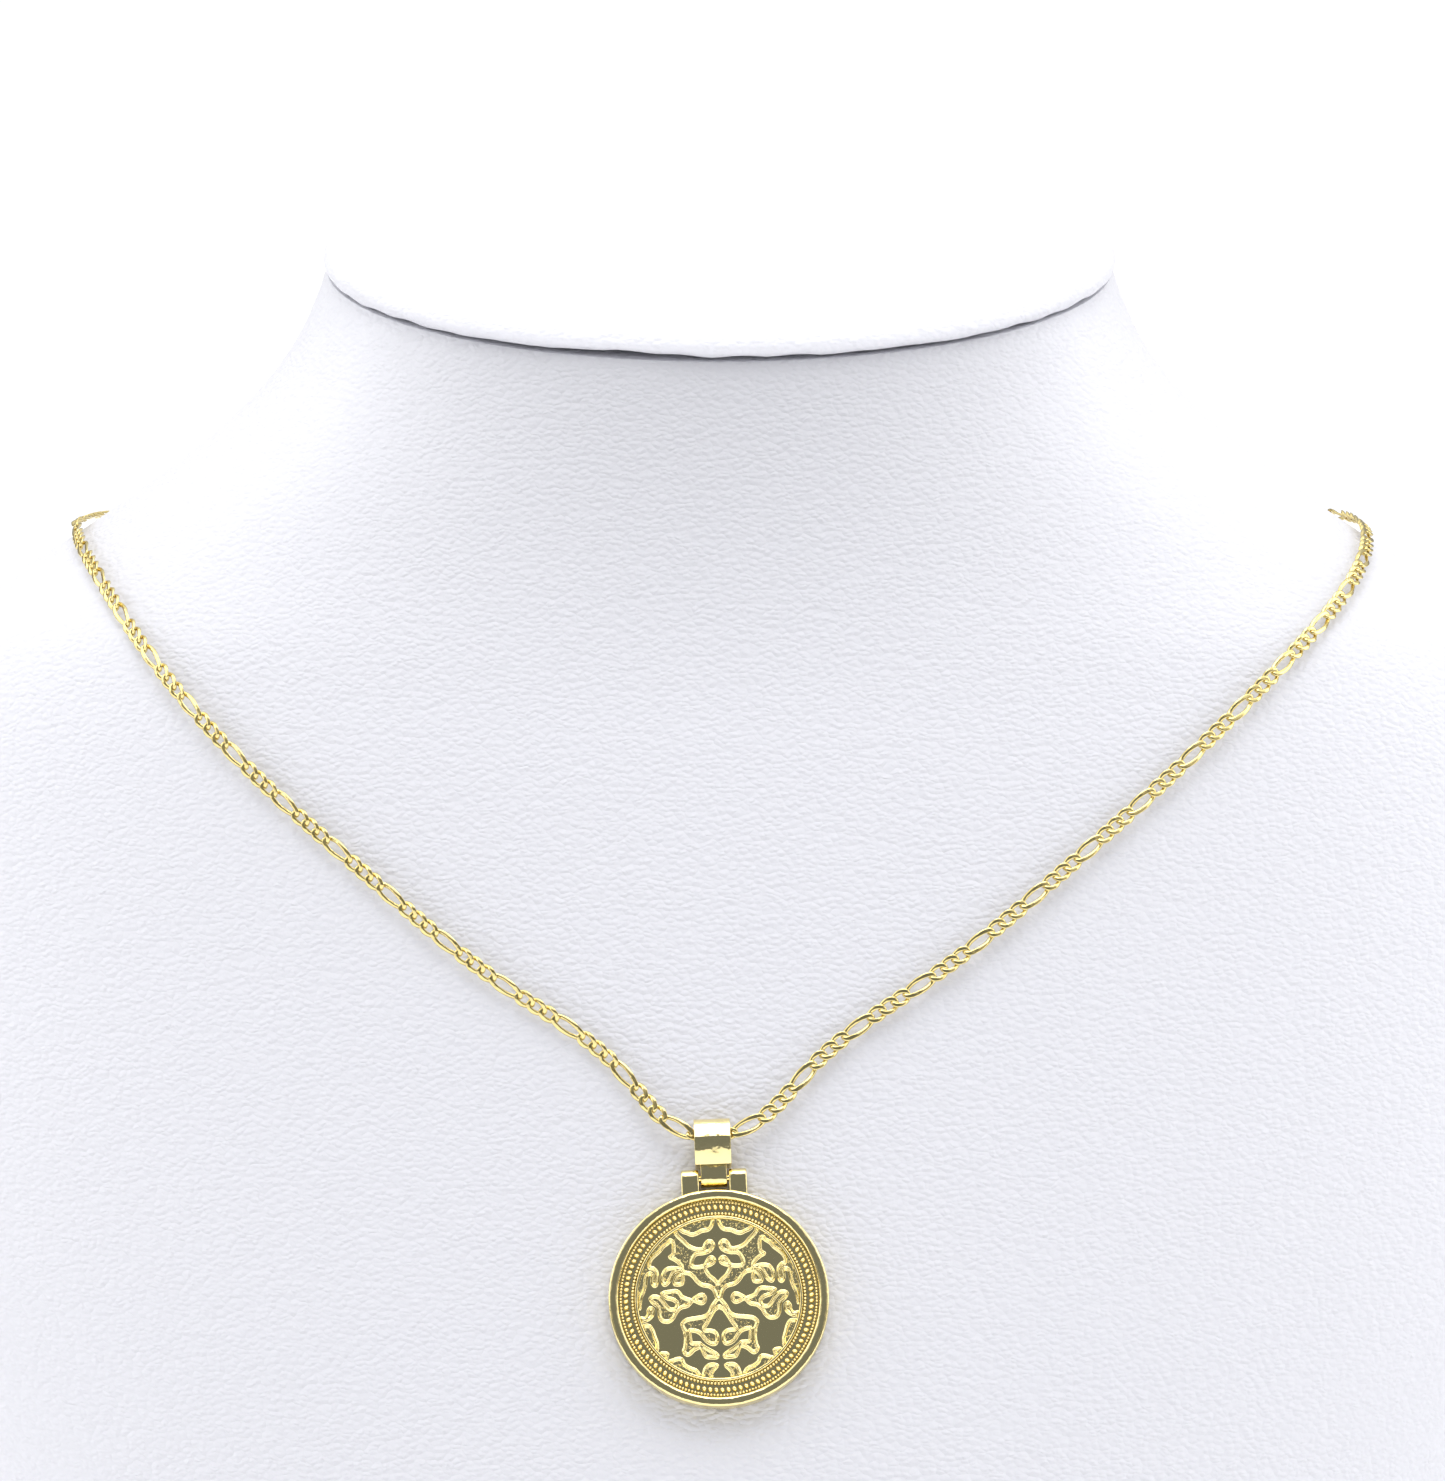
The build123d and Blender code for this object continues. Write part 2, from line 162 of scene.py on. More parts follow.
def castGoldPlate():
    # The same plate over the cast face: smooth on field and ridges, gritty between the ridges
    material, tree = newMaterial("castGoldPlate")
    place = addNode(tree, "ShaderNodeTexCoord")
    ground = addNode(tree, "ShaderNodeAttribute", attribute_name="ground")
    grit = addNode(tree, "ShaderNodeTexNoise", {"Vector": place.outputs["Object"],
        "Scale": 1 / (goldLook["grainSize"] * mm), "Detail": 3.0, "Roughness": 0.7})
    grains = addNode(tree, "ShaderNodeMapRange", {"Value": grit.outputs["Fac"],
        "From Min": goldLook["grainShare"][0], "From Max": goldLook["grainShare"][1]},
        interpolation_type="SMOOTHSTEP")
    height = addNode(tree, "ShaderNodeMath", {0: grains.outputs["Result"],
        1: ground.outputs["Fac"]}, operation="MULTIPLY")
    bump = addNode(tree, "ShaderNodeBump", {"Height": height.outputs["Value"],
        "Distance": goldLook["grainDepth"] * mm, "Strength": 1.0})
    metal = addNode(tree, "ShaderNodeBsdfPrincipled", {"Base Color": hexLinear(goldLook["colour"]),
        "Metallic": 1.0, "Roughness": goldLook["roughness"], "Normal": bump.outputs["Normal"]})
    addNode(tree, "ShaderNodeOutputMaterial", {"Surface": metal.outputs["BSDF"]})
    return material


leatheretteLook = {
    "colour": "DADAE0",
    "roughness": 0.55,
    "creaseLength": 0.95,  # mm, the short wrinkles of the embossed grain run level
    "creaseWidth": 0.55,  # mm
    "creaseDepth": 0.16,  # mm
    "warpSize": 2.2,  # of the bends in the wrinkles, in crease lengths
    "pebble": 0.35,  # mm, the finer grain on the wrinkles
    "pebbleDepth": 0.02,  # mm
    "paintedShadeHeight": (0.112, 0.152),  # m above the base, where the painted shade on the front of the neck starts and is darkest
    "paintedShadeFacing": (-0.6, -0.95),  # painted shade only where the surface faces the front
    # colour share where the painted shade is darkest
    "paintedShadeDarkest": 0.78,
    "capPaintedLight": 1.17,  # painted light on the cap instead: its cover is made whiter where the same mask falls
}


def whiteLeatherette(name, paintedShadeAndLight):
    # Embossed coated cloth: soft sheen with fine short wrinkles. High up, where the surface faces
    # the front, its colour is scaled: painted shade on the bust, painted light on the cap
    look = leatheretteLook
    material, tree = newMaterial(name)
    place = addNode(tree, "ShaderNodeTexCoord")
    warp = addNode(tree, "ShaderNodeTexNoise", {"Vector": place.outputs["Object"],
        "Scale": 1 / (look["warpSize"] * look["creaseLength"] * mm), "Detail": 2.0})
    bent = addNode(tree, "ShaderNodeVectorMath", {0: warp.outputs["Color"],
        1: (look["creaseLength"] * mm,) * 3}, operation="MULTIPLY")
    moved = addNode(tree, "ShaderNodeVectorMath", {0: place.outputs["Object"],
        1: bent.outputs["Vector"]}, operation="ADD")
    level, upright = 1 / (look["creaseLength"] * mm), 1 / (look["creaseWidth"] * mm)
    stretched = addNode(tree, "ShaderNodeMapping", {"Vector": moved.outputs["Vector"],
        "Scale": (level, level, upright)})
    creases = addNode(tree, "ShaderNodeTexVoronoi", {"Vector": stretched.outputs["Vector"],
        "Scale": 1.0}, feature="F1")
    pebbles = addNode(tree, "ShaderNodeTexNoise", {"Vector": place.outputs["Object"],
        "Scale": 1 / (look["pebble"] * mm), "Detail": 2.0})
    fine = addNode(tree, "ShaderNodeBump", {"Height": pebbles.outputs["Fac"],
        "Distance": look["pebbleDepth"] * mm, "Strength": 1.0})
    bump = addNode(tree, "ShaderNodeBump", {"Height": creases.outputs["Distance"],
        "Distance": look["creaseDepth"] * mm, "Strength": 1.0,
        "Normal": fine.outputs["Normal"]}, invert=True)

    # Painted shade on the bust and painted light on the cap: height times front-facing scales the
    # colour
    spot = addNode(tree, "ShaderNodeSeparateXYZ", {"Vector": place.outputs["Object"]})
    high = addNode(tree, "ShaderNodeMapRange", {"Value": spot.outputs["Z"],
        "From Min": look["paintedShadeHeight"][0], "From Max": look["paintedShadeHeight"][1]})
    geometry = addNode(tree, "ShaderNodeNewGeometry")
    facing = addNode(tree, "ShaderNodeSeparateXYZ", {"Vector": geometry.outputs["Normal"]})
    front = addNode(tree, "ShaderNodeMapRange", {"Value": facing.outputs["Y"],
        "From Min": look["paintedShadeFacing"][0], "From Max": look["paintedShadeFacing"][1]})
    paintedShadeMask = addNode(tree, "ShaderNodeMath", {0: high.outputs["Result"],
        1: front.outputs["Result"]}, operation="MULTIPLY")
    share = addNode(tree, "ShaderNodeMapRange", {"Value": paintedShadeMask.outputs["Value"],
        "To Min": 1.0, "To Max": paintedShadeAndLight})
    colour = addNode(tree, "ShaderNodeVectorMath", {0: hexLinear(look["colour"])[:3],
        1: share.outputs["Result"]}, operation="MULTIPLY")
    cloth = addNode(tree, "ShaderNodeBsdfPrincipled", {"Base Color": colour.outputs["Vector"],
        "Roughness": look["roughness"], "Normal": bump.outputs["Normal"]})
    addNode(tree, "ShaderNodeOutputMaterial", {"Surface": cloth.outputs["BSDF"]})
    return material


gold = polishedGoldPlate("polishedGoldPlate", goldLook["colour"])
# painted shade: the chain and clasp get a darker copy of the gold
chainShadedGold = polishedGoldPlate("chainShadedGoldPlate", goldLook["chainShadedColour"])
castGold = castGoldPlate()
# painted shade on the front of the bust's neck, painted light on the cap's front edge
leatherette = whiteLeatherette("whiteLeatherette", leatheretteLook["paintedShadeDarkest"])
capLeatherette = whiteLeatherette("capLeatherette", leatheretteLook["capPaintedLight"])
print("materials made")


# The pendant's frame comes from the bail's hinge in the imported model
pendant = {
    "chestLean": 21,  # degrees the chest leans back
    "faceDrop": 19.25,  # mm from the bail's middle down to the medallion's
}

bailHinge = next(joint for joint in frame["joints"] if joint["name"] == "bail_swing")
pivot = Vector(bailHinge["pos_m"])
pinDirection = -Vector(bailHinge["axis"])
lean = math.radians(pendant["chestLean"])
outOfChest = Vector((0, -math.cos(lean), math.sin(lean)))
upChest = outOfChest.cross(pinDirection).normalized()
facePlace = placeAt(pivot - upChest * pendant["faceDrop"] * mm, pinDirection, upChest, outOfChest)
sidePlace = placeAt(pivot, outOfChest, upChest, -pinDirection)

medallion = {  # lengths in mm
    "radius": 12.7,
    "rimWidth": 1.15,
    "rimDepth": 0.5,  # from the rim's top down to where it stands straight
    "rimRoundness": 3.1,  # 2 is a half round, more is flatter on top
    "front": 0.6,
    "back": -1.8,
    "backEdge": 0.35,  # radius of the back's edge
    "beadZone": 1.85,
    "channelDepth": 0.2,  # of the beads' channel below the field
    "thinRing": 0.4,
    "thinRingHeight": 0.28,
    "thinRingRoundness": 2.4,
    "field": -0.05,
    "turns": 288,
    "sharpAngle": 60,
    "gridStep": 0.062,
    "outlineSteps": 5,  # points for each one of an outline's, to fill it
    "edgeSteps": 16,  # and to find its edge
    "gridReach": 0.2,  # the relief's mesh runs this far under the thin ring
    "reliefHeight": 0.28,
    "ridge": 0.31,  # width of the polished ridge along each outline
    "ringGap": 0.25,  # no ridge runs closer than this to the thin ring
    "groundHeight": 0.12,  # of the ground inside the ridges, as a share of the relief
    "groundEdge": (0.8, 1.2),  # shares of the ridge's width where the ground starts and is full
    "grainHeight": 0.01,
    "grainSeed": 5,
    "smoothing": 2,  # passes
}

# Right half of the raised ornament, mm from the middle; the left half mirrors it
ornament = {
    "archedLeaf": [
        (0.3, 9.3), (0.35, 8.5), (0.85, 7.95), (1.65, 7.8), (2.3, 7.5), (2.85, 7.4), (3.45, 7.65),
        (4.0, 7.9), (4.2, 8.35), (3.2, 8.78), (1.7, 9.18),
    ],
    "saltireArm": [
        (4.7, 8.05), (4.4, 7.6), (3.7, 6.9), (3.1, 6.3), (2.3, 5.95), (1.65, 5.95), (1.4, 6.45),
        (1.05, 6.8), (0.6, 6.8), (0.28, 6.4), (0.35, 5.9), (0.8, 5.45), (1.55, 5.2), (2.25, 5.15),
        (2.6, 4.85), (2.85, 4.0), (2.2, 3.85), (1.55, 4.0), (1.3, 4.4), (0.95, 4.85), (0.5, 4.9),
        (0.2, 4.5), (0.35, 4.1), (0.75, 3.85), (1.3, 3.6), (0.95, 2.85), (0.0, 1.75), (0.0, -0.3),
        (0.35, 0.1), (0.65, 0.9), (1.1, 1.3), (1.9, 1.5), (2.5, 1.95), (2.95, 2.55), (3.4, 2.9),
        (3.95, 3.0), (4.2, 3.4), (4.25, 3.8), (4.55, 4.25), (5.05, 4.65), (5.6, 5.0), (5.15, 5.4),
        (5.1, 5.9), (5.15, 6.6), (5.5, 7.0), (5.6, 7.5),
    ],
    "highRingLeaf": [
        (5.3, 7.7), (5.35, 6.75), (6.05, 6.2), (6.45, 5.7), (7.05, 5.2), (7.45, 4.8), (7.7, 4.2),
        (7.7, 3.6), (8.5, 3.9), (7.9, 5.0), (7.0, 6.2), (6.2, 7.0),
    ],
    "petal": [
        (4.15, 3.65), (5.1, 3.85), (5.85, 3.75), (6.25, 3.4), (6.5, 2.8), (6.55, 2.15),
        (6.3, 1.7), (5.9, 1.75), (5.5, 2.15), (5.2, 2.75), (4.9, 3.15), (4.1, 3.35),
    ],
    "bud": [
        (4.0, 2.95), (3.9, 2.1), (4.15, 1.7), (4.75, 1.65), (5.15, 1.8), (5.05, 2.3), (4.8, 2.8),
        (4.35, 3.15),
    ],
    "ringScroll": [
        (8.65, 3.5), (7.6, 3.95), (7.0, 3.55), (6.85, 3.0), (6.85, 2.2), (7.05, 1.7), (7.4, 1.6),
        (7.7, 2.0), (7.65, 2.75), (7.8, 3.05), (8.05, 2.85), (8.2, 2.3), (8.3, 1.6), (8.5, 1.0),
        (8.8, 0.4), (8.95, -0.3), (9.1, -1.2), (9.28, -1.2), (9.35, 0.0), (9.1, 2.2),
    ],
    "almond": [
        (1.45, 0.05), (1.65, 0.5), (2.05, 0.6), (2.55, 0.4), (3.1, -0.05), (2.55, -0.45),
        (1.95, -0.65), (1.55, -0.4),
    ],
    "forkedLeaf": [
        (3.0, -0.1), (3.7, 0.2), (4.15, 0.45), (4.45, 0.9), (4.9, 1.15), (5.65, 1.1), (6.3, 1.0),
        (6.65, 0.8), (6.4, 0.4), (5.95, 0.1), (5.3, -0.1), (4.95, -0.45), (5.05, -0.9),
        (5.5, -1.0), (5.85, -0.75), (6.15, -0.35), (6.5, 0.15), (7.0, 0.55), (7.6, 0.6),
        (8.0, 0.25), (7.75, -0.25), (7.2, -0.75), (7.05, -1.3), (7.0, -2.0), (6.65, -2.5),
        (6.1, -2.65), (5.6, -2.55), (5.15, -2.1), (4.8, -1.5), (4.3, -1.05), (3.65, -0.9),
        (3.2, -0.55),
    ],
    "comma": [
        (7.5, -1.0), (7.55, -1.7), (7.95, -2.15), (8.5, -2.4), (9.0, -2.4), (9.15, -1.9),
        (8.6, -1.95), (8.3, -1.6), (8.25, -1.1), (7.95, -0.7),
    ],
    "lowRingLeaf": [
        (8.1, -2.8), (7.65, -3.4), (7.4, -4.2), (7.15, -5.0), (7.2, -5.75), (7.4, -5.75),
        (8.1, -4.7), (8.6, -3.65), (8.9, -2.9),
    ],
    "triangle": [
        (6.0, -6.3), (6.35, -6.05), (6.95, -6.1), (6.9, -6.3), (6.3, -6.9),
    ],
    "bottomRingLeaf": [
        (2.6, -9.0), (2.6, -8.6), (2.9, -8.2), (3.6, -7.9), (4.15, -7.5), (4.35, -7.0),
        (4.7, -6.75), (5.2, -6.8), (5.75, -7.0), (6.05, -7.15), (5.2, -7.78), (4.0, -8.45),
    ],
    "hook": [
        (0.35, -7.85), (0.8, -7.6), (1.5, -7.65), (1.95, -8.05), (2.15, -8.6), (2.2, -9.1),
        (1.2, -9.28), (1.1, -8.9), (0.85, -8.45),
    ],
    "lobe": [
        (4.15, -3.7), (4.1, -4.5), (4.15, -5.1), (4.25, -5.6), (4.4, -6.0), (4.2, -6.4),
        (3.8, -6.6), (3.4, -6.4), (2.95, -6.0), (2.3, -5.65), (2.2, -5.15), (2.75, -5.05),
        (3.25, -5.0), (3.35, -4.5), (3.5, -3.7),
    ],
    "smallLeaf": [
        (2.3, -5.2), (1.65, -5.65), (1.0, -6.05), (0.45, -6.4), (0.25, -6.75), (0.45, -7.0),
        (1.1, -7.0), (1.75, -6.9), (2.05, -6.5), (2.25, -6.0), (2.4, -5.6),
    ],
    "lowerBand": [
        (0.0, -1.05), (0.4, -1.4), (0.8, -2.0), (1.2, -2.7), (1.7, -3.5), (1.3, -3.6),
        (0.9, -3.65), (0.45, -3.9), (0.25, -4.3), (0.2, -4.8), (0.35, -5.25), (0.65, -5.45),
        (1.1, -5.4), (1.6, -5.1), (1.95, -4.7), (2.25, -4.25), (2.7, -3.9), (3.4, -3.75),
        (4.1, -3.75), (4.35, -3.35), (4.45, -2.9), (4.25, -2.55), (3.75, -2.25), (2.75, -2.1),
        (1.8, -1.95), (1.25, -1.55), (0.9, -0.85), (0.35, -0.1), (0.0, 0.3),
    ],
}


def roundedOutline(points, steps):  # closed smooth curve through the points
    p = np.array(points, float)
    before, after, beyond = np.roll(p, 1, 0), np.roll(p, -1, 0), np.roll(p, -2, 0)
    t = np.linspace(0, 1, steps, endpoint=False)[None, :, None]
    a = (2 * p)[:, None]
    b = (after - before)[:, None] * t
    c = (2 * before - 5 * p + 4 * after - beyond)[:, None] * t**2
    d = (3 * p - before - 3 * after + beyond)[:, None] * t**3
    return ((a + b + c + d) / 2).reshape(-1, 2)


def insideOutline(x, y, outline):
    hit = np.zeros(x.shape, bool)
    x0, y0 = outline[-1]
    for x1, y1 in outline:
        if y0 != y1:
            hit ^= ((y1 > y) != (y0 > y)) & (x < (x0 - x1) * (y - y1) / (y0 - y1) + x1)
        x0, y0 = x1, y1
    return hit


def outlineEdges(covered, half, step):  # outline points with the ornament on one side only
    edges = []
    for points in ornament.values():
        fine = roundedOutline(points, medallion["edgeSteps"])
        along = np.roll(fine, -1, 0) - fine
        length = np.linalg.norm(along, axis=1)[:, None] + 1e-9
        normal = np.stack((-along[:, 1], along[:, 0]), 1) / length
        sides = []
        for sign in (-1, 1):
            probe = np.rint((fine + sign * normal * step) / step).astype(int) + half
            probe = np.clip(probe, 0, 2 * half)
            sides.append(covered[probe[:, 1], probe[:, 0]])
        kept = fine[sides[0] != sides[1]]
        edges += [kept, kept * (-1, 1)]
    return np.concatenate(edges)


def softNoise(seed, half):  # seeded random levels on every other grid point, blended between them
    levels = np.random.RandomState(seed).rand(half + 2, half + 2)
    r, c = np.indices((2 * half + 1, 2 * half + 1)) / 2.0
    r0, c0 = r.astype(int), c.astype(int)
    fr, fc = r - r0, c - c0
    return ((levels[r0, c0] * (1 - fc) + levels[r0, c0 + 1] * fc) * (1 - fr)
        + (levels[r0 + 1, c0] * (1 - fc) + levels[r0 + 1, c0 + 1] * fc) * fr)


def buildRelief():
    look = medallion
    step = look["gridStep"]
    fieldRadius = look["radius"] - look["rimWidth"] - look["beadZone"] - look["thinRing"]
    reach = fieldRadius + look["gridReach"]
    half = int(reach / step) + 1
    axis = np.arange(-half, half + 1) * step
    x, y = np.meshgrid(axis, axis)
    radius = np.hypot(x, y)
    covered = np.zeros(x.shape, bool)
    for points in ornament.values():
        covered |= insideOutline(x, y, roundedOutline(points, look["outlineSteps"]))
    covered |= covered[:, ::-1]

    edges = outlineEdges(covered, half, step)
    edges = edges[np.hypot(edges[:, 0], edges[:, 1]) < fieldRadius - look["ringGap"]]
    tree = kdtree.KDTree(len(edges))
    for number, (edgeX, edgeY) in enumerate(edges):
        tree.insert((edgeX, edgeY, 0), number)
    tree.balance()
    depth = np.zeros(x.shape)
    for row, column in np.argwhere(covered & (radius < reach)):
        depth[row, column] = tree.find((x[row, column], y[row, column], 0))[2]

    halfRidge = look["ridge"] / 2
    ridge = np.clip(1 - ((depth - halfRidge) / halfRidge) ** 2, 0, 1)
    ground = ramp(depth, *[share * look["ridge"] for share in look["groundEdge"]])
    height = look["reliefHeight"] * np.maximum(ridge, look["groundHeight"] * ground)
    height += 2 * look["grainHeight"] * (softNoise(look["grainSeed"], half) - 0.5) * ground
    height *= covered
    for _ in range(look["smoothing"]):  # the polish softens every edge
        height[1:-1] = (height[:-2] + 2 * height[1:-1] + height[2:]) / 4
        height[:, 1:-1] = (height[:, :-2] + 2 * height[:, 1:-1] + height[:, 2:]) / 4
    height *= ramp(radius, fieldRadius + 0.06, fieldRadius - 0.1)  # ends inside the thin ring

    kept = radius < reach
    number = -np.ones(x.shape, int)
    number[kept] = np.arange(kept.sum())
    faces = np.stack((number[:-1, :-1], number[:-1, 1:], number[1:, 1:], number[1:, :-1]), -1)
    faces = faces.reshape(-1, 4)
    faces = faces[(faces >= 0).all(1)]
    points = np.stack((x[kept], y[kept], look["field"] + height[kept]), 1)
    made = makeMesh("medallionRelief", points, faces, facePlace, castGold, "medallion")
    attribute = made.data.attributes.new("ground", "FLOAT", "POINT")
    attribute.data.foreach_set("value", (ground * covered)[kept].astype(np.float32))


def lathe(profile, turns):
    profile = np.array(profile, float)
    angle = np.linspace(0, 2 * math.pi, turns, endpoint=False)
    points = np.stack((np.outer(np.cos(angle), profile[:, 0]),
        np.outer(np.sin(angle), profile[:, 0]), np.tile(profile[:, 1], (turns, 1))), -1)
    return points.reshape(-1, 3), gridFaces(turns, len(profile))


def buildMedallionBody():
    look = medallion
    rimInner = look["radius"] - look["rimWidth"]
    fieldEdge = rimInner - look["beadZone"]
    fieldRadius = fieldEdge - look["thinRing"]
    channel = look["field"] - look["channelDepth"]
    rimFoot = look["front"] - look["rimDepth"]
    edge = look["backEdge"]
    profile = [(fieldRadius - 0.03, look["field"] - 0.04)]  # just under the relief's mesh
    profile += arc((fieldRadius + fieldEdge) / 2, look["field"], look["thinRing"] / 2,
        look["thinRingHeight"], 180, 0, 10, look["thinRingRoundness"])
    profile += [(fieldEdge + 0.03, channel), (rimInner - 0.03, channel)]
    profile += arc(look["radius"] - look["rimWidth"] / 2, rimFoot, look["rimWidth"] / 2,
        look["rimDepth"], 180, 0, 18, look["rimRoundness"])
    profile += arc(look["radius"] - edge, look["back"] + edge, edge, edge, 0, -90, 6)
    profile += [(look["radius"] - 2 * edge, look["back"]), (0.02, look["back"])]
    points, faces = lathe(profile, look["turns"])
    made = makeMesh("medallionBody", points, faces, facePlace, gold, "medallion",
        look["sharpAngle"])
    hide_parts("medallion")


# Rows of beads in the channel: size along the radius, along the row and up, mm; slant in degrees
beadRows = {
    "bead": {"count": 96, "radius": 10.68, "size": (0.36, 0.27, 0.4), "slant": 22},
    "outerGrain": {"count": 190, "radius": 11.27, "size": (0.18, 0.17, 0.17), "slant": 0},
    "innerGrain": {"count": 156, "radius": 9.93, "size": (0.2, 0.18, 0.21), "slant": 0},
}


def buildBeads():
    levels, sides = 5, 8  # each bead is a little more than a half ball, flat at its tip
    dome = np.array([(math.cos(a) * math.cos(b), math.cos(a) * math.sin(b), math.sin(a))
        for b in np.linspace(0, 2 * math.pi, sides, endpoint=False)
        for a in np.linspace(-0.35, math.pi / 2 - 0.05, levels)])
    tip = [levels - 1 + levels * side for side in range(0, sides, 2)]
    domeFaces = np.concatenate((gridFaces(sides, levels), [tip]))
    points, faces = [], []
    for row in beadRows.values():
        for k in range(row["count"]):
            a = 2 * math.pi * k / row["count"]
            turn = a + math.radians(row["slant"])
            bead = dome * row["size"]
            x = bead[:, 0] * math.cos(turn) - bead[:, 1] * math.sin(turn)
            y = bead[:, 0] * math.sin(turn) + bead[:, 1] * math.cos(turn)
            faces.append(domeFaces + len(points) * len(dome))
            points.append(np.stack((x + row["radius"] * math.cos(a),
                y + row["radius"] * math.sin(a), bead[:, 2] + medallion["field"] - 0.02), 1))
    makeMesh("medallionBeads", np.concatenate(points), np.concatenate(faces), facePlace, gold,
        "medallion")


buildRelief()
buildMedallionBody()
buildBeads()
print("medallion made")


# Bail, lugs and knuckle are side views cut out as plates with rounded edges. Places are mm out
# of the chest and up it, from the middle of the bail
bail = {
    "halfWidth": 2.1,
    "bendRadius": 1.8,  # of the strap over the chain
    "slotRadius": 1.05,
    "slotFoot": (-0.4, -2.45),
    "slotFootRadius": 0.65,
    "facetTop": (2.1, -0.6),
    "facetFoot": (1.0, -3.7),
    "facetBulge": 0.572,  # the front bows out a little between its ridge and its foot
    "pin": (-0.7, -5.05),
    "boreRadius": 0.45,
    "knuckleRadius": 1.05,
    "knuckleHalfWidth": 1.5,
    "knuckleTop": -3.4,
    "lugWidth": 2.05,
    "lugGap": 0.25,
    "lugFoot": -7.4,
    "edge": 0.09,  # radius of the polished edges
    "lugEdge": 0.2,
    "edgeSteps": 3,
    "sharpAngle": 35,
}


def buildPlate(name, loops, start, end, edge, body):  # start and end along the pin
    curve = bpy.data.curves.new(name, "CURVE")
    curve.dimensions = "2D"
    curve.fill_mode = "BOTH"
    for loop in loops:
        spline = curve.splines.new("POLY")
        spline.points.add(len(loop) - 1)
        for point, (x, y) in zip(spline.points, loop):
            point.co = (x, y, 0, 1)
        spline.use_cyclic_u = True
    curve.extrude = (end - start) / 2 - edge
    curve.bevel_depth = edge
    curve.bevel_resolution = bail["edgeSteps"]
    curve.offset = -edge
    drawn = bpy.data.objects.new(name + "Curve", curve)
    bpy.context.scene.collection.objects.link(drawn)
    bpy.context.view_layer.update()
    solid = drawn.evaluated_get(bpy.context.evaluated_depsgraph_get())
    mesh = bpy.data.meshes.new_from_object(solid)
    bpy.data.objects.remove(drawn)
    shift = Matrix.Translation((0, 0, (start + end) / 2))
    mesh.transform(sidePlace @ Matrix.Scale(mm, 4) @ shift)
    made = placeMesh(name, mesh, gold, body, bail["sharpAngle"])
    made.modifiers.new("evenNormals", "WEIGHTED_NORMAL").keep_sharp = True
    return made


def hullOf(points):  # convex outline, counter-clockwise
    points = sorted(set((round(x, 5), round(y, 5)) for x, y in points))
    made = []
    for path in (points, points[::-1]):
        side = []
        for p in path:
            while len(side) > 1 and ((side[-1][0] - side[-2][0]) * (p[1] - side[-2][1])
                    - (side[-1][1] - side[-2][1]) * (p[0] - side[-2][0])) <= 0:
                side.pop()
            side.append(p)
        made += side[:-1]
    return made


def circleAt(x, y, radius, steps):
    return arc(x, y, radius, radius, 0, 360, steps)


def buildBail():
    (topX, topY), (footX, footY) = bail["facetTop"], bail["facetFoot"]
    facet = [(topX + (footX - topX) * t + bail["facetBulge"] * t * (1 - t**2),
        topY + (footY - topY) * t) for t in np.linspace(0, 1, 13)]
    strap = hullOf(circleAt(0, 0, bail["bendRadius"], 48) + [(-bail["bendRadius"], footY)] + facet)
    slot = hullOf(circleAt(0, 0, bail["slotRadius"], 32)
        + circleAt(*bail["slotFoot"], bail["slotFootRadius"], 32))
    strapPlate = buildPlate("bailStrap", [strap, slot[::-1]], -bail["halfWidth"],
        bail["halfWidth"], bail["edge"], "bail")
    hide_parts("bail")

    pinX, pinY = bail["pin"]
    radius, halfKnuckle = bail["knuckleRadius"], bail["knuckleHalfWidth"]
    knuckle, lug = [hullOf(circleAt(pinX, pinY, radius, 40)
        + [(pinX - radius, end), (pinX + radius, end)])
        for end in (bail["knuckleTop"], bail["lugFoot"])]
    bore = circleAt(pinX, pinY, bail["boreRadius"], 24)[:-1][::-1]
    buildPlate("bailKnuckle", [knuckle, bore], -halfKnuckle, halfKnuckle, bail["edge"], "bail")
    start = halfKnuckle + bail["lugGap"]
    end = start + bail["lugWidth"]
    buildPlate("rightLug", [lug, bore], start, end, bail["lugEdge"], "medallion")
    buildPlate("leftLug", [lug, bore], -end, -start, bail["lugEdge"], "medallion")


buildBail()
dressNode("hinge_pin", gold)
dressNode("clasp", chainShadedGold)
print("bail and hinge made")


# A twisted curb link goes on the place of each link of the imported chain
chain = {
    "wire": 0.58,  # mm
    "width": 2.0,  # mm
    "boreReach": 4.2,  # mm from the bail's middle, where a link has to fit through it
    "boreWire": 0.42,
    "boreWidth": 1.5,
    "twist": 42,  # degrees each end of a link turns against its middle
    "thickness": 0.3,  # mm each way; a curb chain is rolled flat after linking
    "squareness": 2.9,  # 2 is an ellipse, more is fuller at the corners
    "pathSteps": 36,
    "sides": 10,
    "leftRoll": 22,  # degrees the left side has rolled onto its edge
    "rollStart": (2, 14),  # mm from the bail, where that starts and is full
    "neckAxis": 0.032,  # m behind the origin
    "bustShare": 0.25,  # the bust is this much flatter in front than a round neck
    "lean": 0.023,  # m, how far the chain's face tips upwards
}


